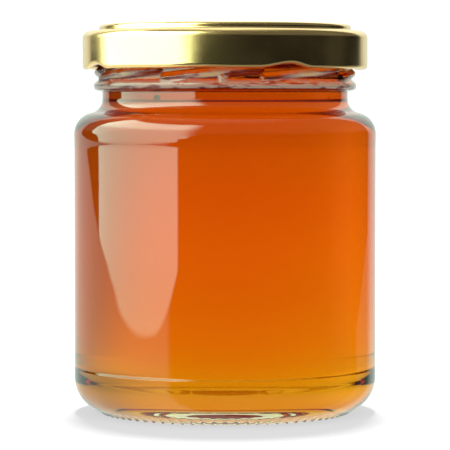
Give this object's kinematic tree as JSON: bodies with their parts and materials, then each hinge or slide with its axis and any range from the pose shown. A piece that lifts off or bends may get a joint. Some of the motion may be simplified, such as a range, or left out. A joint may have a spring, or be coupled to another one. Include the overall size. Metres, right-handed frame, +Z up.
{
  "type": "honey jar",
  "caption": "Round clear glass jar filled with amber honey, with a recessed bare side panel, a narrow threaded neck and a gold twist-off metal lid.",
  "frame": {"origin": "centre of the base, on the surface that the jar stands on", "axes": "+Z up along the jar's axis, -Y the front, +X to the right seen from the front"},
  "size_m": [0.07, 0.07, 0.0898],
  "materials": {
    "clear_glass": "clear, polished",
    "honey": "clear amber liquid, glossy",
    "gold_lacquer": "gold lacquered tinplate, glossy"
  },
  "bodies": {
    "root": {"jar_glass": "clear_glass", "honey": "honey", "lid": "gold_lacquer"}
  },
  "joints": []
}
